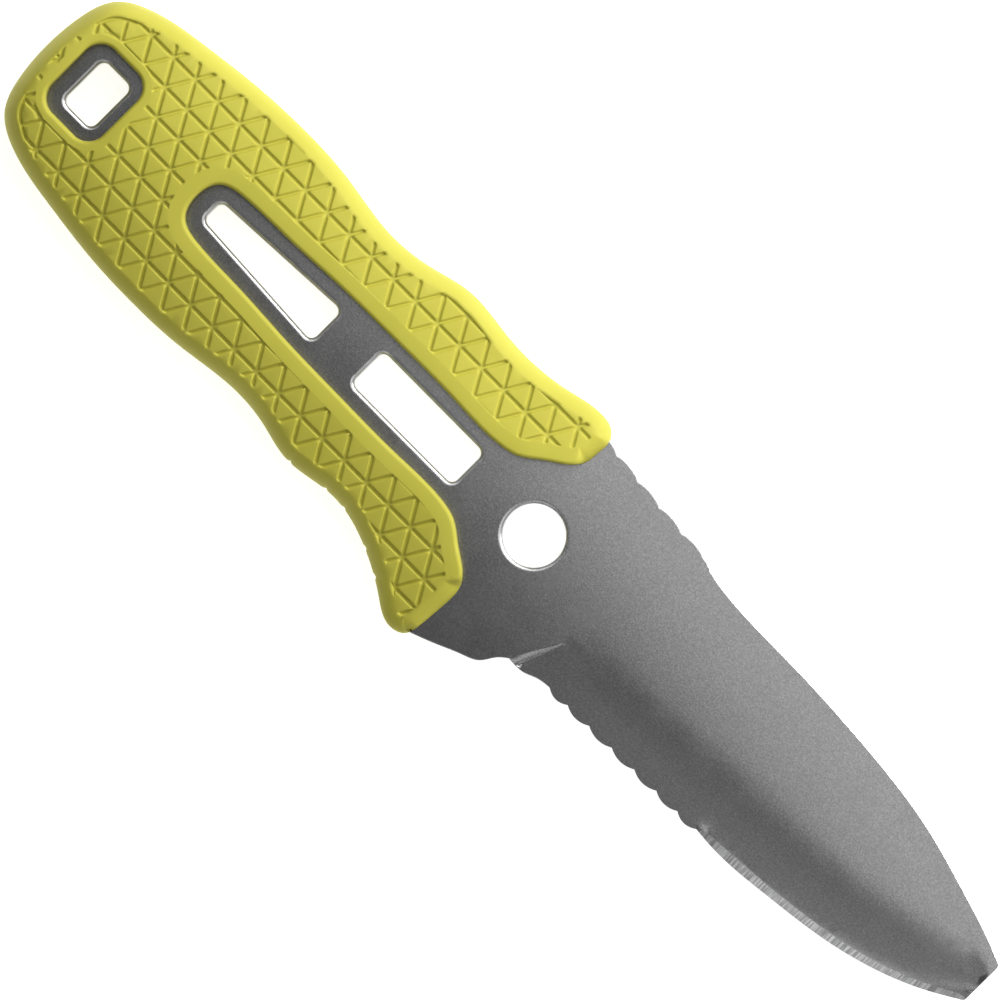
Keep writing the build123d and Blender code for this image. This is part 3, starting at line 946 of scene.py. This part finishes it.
def crease_lines(side):
    """Lines on one face where its slope changes, with the distances beside them that get rows of points."""
    lines = [(GRIND_LINE, np.linspace(-GRIND_BLEND, GRIND_BLEND, GRIND_ROWS))]
    lines += [(line, SHARP_ROWS) for line in (BEVEL_LINE, SWEDGE_LINE, PLUNGE_LINE, PLUNGE_FOOT)]
    if side < 0:
        lines.append((SERRATION_GRIND_TOP, SHARP_ROWS))
    return lines


def line_y(line, x):
    """Height of a crease line at a place along the blade."""
    run = CREASE_RUNS[line]
    return np.interp(x, run[:, 0], run[:, 1])


def facet_kind(x, y, to_opening):
    """Which look a place on the blade has: 0 blasted, 1 ground edge bevel, 2 machined swedge and rims."""
    if x > BEVEL_LINE[0][0] and y < line_y("bevel", x):
        return 1
    if x > SWEDGE_LINE[0][0] and y > line_y("swedge", x):
        return 2
    return 2 if to_opening < RIM_WIDTH else 0


CREASE_RUNS = {
    "bevel": spline_run(BEVEL_LINE, CREASE_RUN_STEP),
    "swedge": spline_run(SWEDGE_LINE, CREASE_RUN_STEP),
}


# ---------------------------------------------------------------- materials
def new_material(name):
    """New node material: returns it, its node tree and its Principled shader."""
    material = bpy.data.materials.new(name)
    material.use_nodes = True
    tree = material.node_tree
    return material, tree, tree.nodes["Principled BSDF"]


def object_noise(tree, scale, detail=2.0, stretch=(1, 1, 1)):
    """Noise that stays with the object, stretched along its axes."""
    place = tree.nodes.new("ShaderNodeTexCoord")
    mapping = tree.nodes.new("ShaderNodeMapping")
    mapping.inputs["Scale"].default_value = stretch
    noise = tree.nodes.new("ShaderNodeTexNoise")
    noise.inputs["Scale"].default_value = scale
    noise.inputs["Detail"].default_value = detail
    tree.links.new(place.outputs["Object"], mapping.inputs["Vector"])
    tree.links.new(mapping.outputs["Vector"], noise.inputs["Vector"])
    return noise


def ramp(tree, source, stops):
    """Colours of a ramp driven by a value."""
    node = tree.nodes.new("ShaderNodeValToRGB")
    elements = node.color_ramp.elements
    while len(elements) < len(stops):
        elements.new(0.5)
    for element, (position, color) in zip(elements, stops):
        element.position = position
        element.color = (*color, 1)
    tree.links.new(source, node.inputs["Fac"])
    return node


def grey(value):
    """Neutral colour with the faintest blue."""
    return (value, value, value * 1.01)


def add_bump(tree, shader, heights, strength, distance):
    """Bump from a height output."""
    bump = tree.nodes.new("ShaderNodeBump")
    bump.inputs["Strength"].default_value = strength
    bump.inputs["Distance"].default_value = distance
    tree.links.new(heights, bump.inputs["Height"])
    tree.links.new(bump.outputs["Normal"], shader.inputs["Normal"])


def blasted_steel():
    """Bead-blasted steel: fine random mottle over soft clouds."""
    material, tree, shader = new_material("blade_blasted_steel")
    shader.inputs["Metallic"].default_value = 1.0
    grain = object_noise(tree, 3800, 3.0)
    color = ramp(tree, grain.outputs["Fac"], [(0.32, grey(0.27)), (0.5, grey(0.32)), (0.68, grey(0.385))])
    tree.links.new(color.outputs["Color"], shader.inputs["Base Color"])
    clouds = object_noise(tree, 220, 3.0)
    rough = ramp(tree, clouds.outputs["Fac"], [(0.3, grey(0.25)), (0.7, grey(0.28))])
    tree.links.new(rough.outputs["Color"], shader.inputs["Roughness"])
    add_bump(tree, shader, grain.outputs["Fac"], 0.13, 0.00005)
    return material


def ground_steel():
    """Edge bevel with grinding scratches square to the edge."""
    material, tree, shader = new_material("blade_ground_edge")
    shader.inputs["Metallic"].default_value = 1.0
    scratches = object_noise(tree, 1.0, 2.0, (3800, 260, 1))
    color = ramp(tree, scratches.outputs["Fac"], [(0.38, grey(0.33)), (0.62, grey(0.68))])
    tree.links.new(color.outputs["Color"], shader.inputs["Base Color"])
    shader.inputs["Roughness"].default_value = 0.3
    add_bump(tree, shader, scratches.outputs["Fac"], 0.5, 0.00003)
    return material


def cut_steel():
    """Machined swedge and chamfers: brighter and smoother than the flats."""
    material, tree, shader = new_material("blade_machined_steel")
    shader.inputs["Metallic"].default_value = 1.0
    grain = object_noise(tree, 900, 2.0)
    color = ramp(tree, grain.outputs["Fac"], [(0.3, grey(0.56)), (0.7, grey(0.7))])
    tree.links.new(color.outputs["Color"], shader.inputs["Base Color"])
    shader.inputs["Roughness"].default_value = 0.33
    add_bump(tree, shader, grain.outputs["Fac"], 0.2, 0.00003)
    return material


DEEP_YELLOW = (0.505, 0.470, 0.062)
PALE_YELLOW = (0.535, 0.498, 0.070)


def grip_plastic():
    """Satin yellow moulded plastic with a faint sandy mould texture."""
    material, tree, shader = new_material("grip_yellow_plastic")
    clouds = object_noise(tree, 90, 2.0)
    color = ramp(tree, clouds.outputs["Fac"], [(0.35, DEEP_YELLOW), (0.65, PALE_YELLOW)])
    tree.links.new(color.outputs["Color"], shader.inputs["Base Color"])
    sand = object_noise(tree, 4200, 2.0)
    rough = ramp(tree, sand.outputs["Fac"], [(0.3, grey(0.46)), (0.7, grey(0.58))])
    tree.links.new(rough.outputs["Color"], shader.inputs["Roughness"])
    shader.inputs["IOR"].default_value = 1.47
    shader.inputs["Specular IOR Level"].default_value = 0.16
    add_bump(tree, shader, sand.outputs["Fac"], 0.12, 0.00006)
    return material


def drawn_steel():
    """Pins of drawn steel, with fine lines along them."""
    material, tree, shader = new_material("pin_drawn_steel")
    shader.inputs["Metallic"].default_value = 1.0
    lines = object_noise(tree, 1.0, 2.0, (2500, 2500, 120))
    color = ramp(tree, lines.outputs["Fac"], [(0.3, grey(0.5)), (0.7, grey(0.66))])
    tree.links.new(color.outputs["Color"], shader.inputs["Base Color"])
    shader.inputs["Roughness"].default_value = 0.35
    add_bump(tree, shader, lines.outputs["Fac"], 0.2, 0.00003)
    return material


def floor_paint():
    """Matt white floor with the faintest unevenness."""
    material, tree, shader = new_material("floor_white")
    clouds = object_noise(tree, 6, 2.0)
    color = ramp(tree, clouds.outputs["Fac"], [(0.3, grey(0.93)), (0.7, grey(0.95))])
    tree.links.new(color.outputs["Color"], shader.inputs["Base Color"])
    shader.inputs["Roughness"].default_value = 0.9
    shader.inputs["Emission Color"].default_value = (1, 1, 1, 1)
    shader.inputs["Emission Strength"].default_value = 0.8
    return material


# ---------------------------------------------------------------- pieces
def piece(mesh, name, materials):
    """New object of the knife from a mesh, with its materials."""
    made = bpy.data.objects.new(name, mesh)
    bpy.context.scene.collection.objects.link(made)
    for material in materials:
        made.data.materials.append(material)
    return made


plastic = grip_plastic()
steel_looks = [blasted_steel(), ground_steel(), cut_steel()]
right_mesh = grip_shell_mesh("grip_right")
grip_right = piece(right_mesh, "grip_right", [plastic])
grip_left = piece(mirrored(right_mesh, "grip_left"), "grip_left", [plastic])
blade = piece(blade_mesh(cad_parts["blade_and_tang"], "blade"), "blade", steel_looks)
for made, node, slot in (
    (grip_right, "grip_shell_right", "grip_yellow"),
    (grip_left, "grip_shell_left", "grip_yellow"),
    (blade, "blade_and_tang", "blade_steel"),
):
    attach(made, "root")
    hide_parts(node)

pin_look = drawn_steel()
for node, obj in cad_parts.items():
    if node.startswith("tang_pin"):
        obj.data.materials.clear()
        obj.data.materials.append(pin_look)


# ---------------------------------------------------------------- floor, light and camera
FLOOR_SIZE = 4.0
floor_z = cad_bounds[0][2]
bpy.ops.mesh.primitive_plane_add(size=FLOOR_SIZE, location=(0, 0, floor_z))
floor = bpy.context.object
floor.name = "floor"
floor.data.materials.append(floor_paint())


def area_light(name, place, target, size, power, along=(1, 0, 0)):
    """Soft rectangular light at a place, turned to a target, with its long side in a direction."""
    light = bpy.data.lights.new(name, "AREA")
    light.shape = "RECTANGLE"
    light.size, light.size_y = size
    light.energy = power
    back = (Vector(place) - Vector(target)).normalized()
    across = Vector(along)
    across = (across - back * across.dot(back)).normalized()
    made = bpy.data.objects.new(name, light)
    made.matrix_world = Matrix((across, back.cross(across), back)).transposed().to_4x4()
    made.location = place
    made.visible_camera = False
    bpy.context.scene.collection.objects.link(made)


# Each light: its place, what it faces, its two sides, its power and perhaps its long side's direction.
STUDIO_LIGHTS = [
    ("overhead_strip", (0.020, 0.024, 0.100), (0.020, 0.024, 0), (0.34, 0.052), 0.056, (1, -0.12, 0)),
    ("spine_key", (0.20, 0.60, 0.27), (0, 0, 0), (0.5, 0.3), 4.35),
    ("spine_fill", (-0.10, 0.50, 0.46), (-0.02, 0, 0), (0.4, 0.3), 2.1),
    ("edge_light", (0.16, -0.38, 0.42), (0.05, 0, 0), (0.22, 0.22), 0.16),
    ("grind_fill", (0.115, -0.16, 0.41), (0.045, -0.01, 0), (0.24, 0.13), 0.032),
    ("plunge_light", (0.31, -0.188, 0.14), (0.012, -0.012, 0), (0.12, 0.12), 0.05),
]
for settings in STUDIO_LIGHTS:
    area_light(*settings)

world = bpy.data.worlds.new("studio")
world.use_nodes = True
world.node_tree.nodes["Background"].inputs["Color"].default_value = (1, 1, 1, 1)
world.node_tree.nodes["Background"].inputs["Strength"].default_value = 0.13
bpy.context.scene.world = world
bpy.context.scene.view_settings.view_transform = "Standard"

# The view looks straight down on the knife, turned so that the tip points down to the right.
VIEW_CENTRE = Vector((-0.00705, 0.00015, 0.0015))
VIEW_TURN = math.radians(45.25)
VIEW_TILT = math.radians(2.6)
VIEW_WIDTH = 0.1436
VIEW_DISTANCE = 2.5
picture_right = Vector((math.cos(VIEW_TURN), math.sin(VIEW_TURN), 0))
picture_up = Vector((-math.sin(VIEW_TURN), math.cos(VIEW_TURN), 0))
towards_camera = picture_right * math.sin(VIEW_TILT) + Vector((0, 0, 1)) * math.cos(VIEW_TILT)
lens = bpy.data.cameras.new("camera")
lens.sensor_width = 36.0
lens.lens = lens.sensor_width * VIEW_DISTANCE / VIEW_WIDTH
lens.clip_start = 0.01
camera = bpy.data.objects.new("camera", lens)
axes = (picture_up.cross(towards_camera), picture_up, towards_camera)
place = Matrix.Translation(VIEW_CENTRE + towards_camera * VIEW_DISTANCE)
camera.matrix_world = place @ Matrix(axes).transposed().to_4x4()
bpy.context.scene.collection.objects.link(camera)
bpy.context.scene.camera = camera
